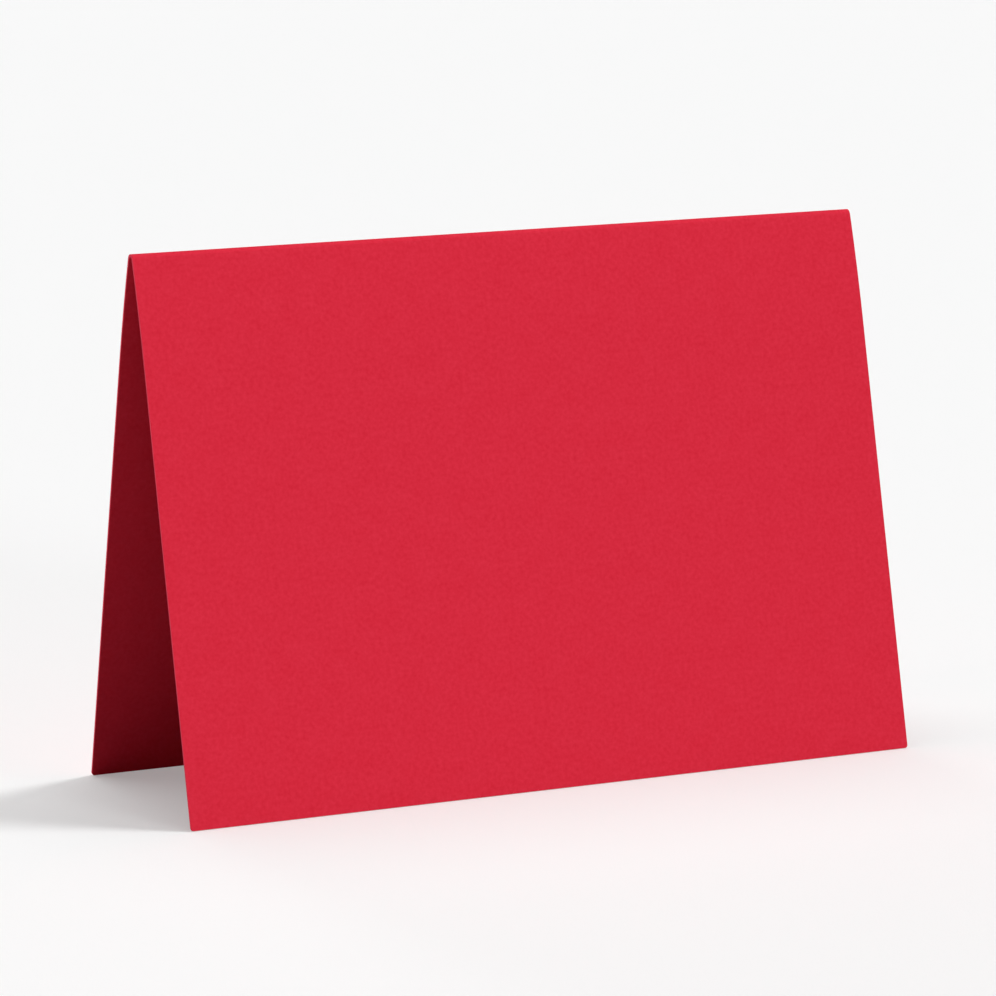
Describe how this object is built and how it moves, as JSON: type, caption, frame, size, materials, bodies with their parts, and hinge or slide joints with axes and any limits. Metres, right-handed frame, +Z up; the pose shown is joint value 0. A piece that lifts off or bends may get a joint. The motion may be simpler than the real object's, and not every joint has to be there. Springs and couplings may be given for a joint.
{
  "type": "place card",
  "caption": "Plain red place card: a small sheet of uncoated card folded across its middle, standing by itself as a tent.",
  "frame": {"origin": "middle of the footprint, at the height of the table that the card stands on", "axes": "+X along the fold, -Y out of the front panel, +Y out of the back panel, +Z up"},
  "size_m": [0.105, 0.0354, 0.0719],
  "materials": {
    "card": "matte"
  },
  "bodies": {
    "root": {"card": "card"}
  },
  "joints": []
}
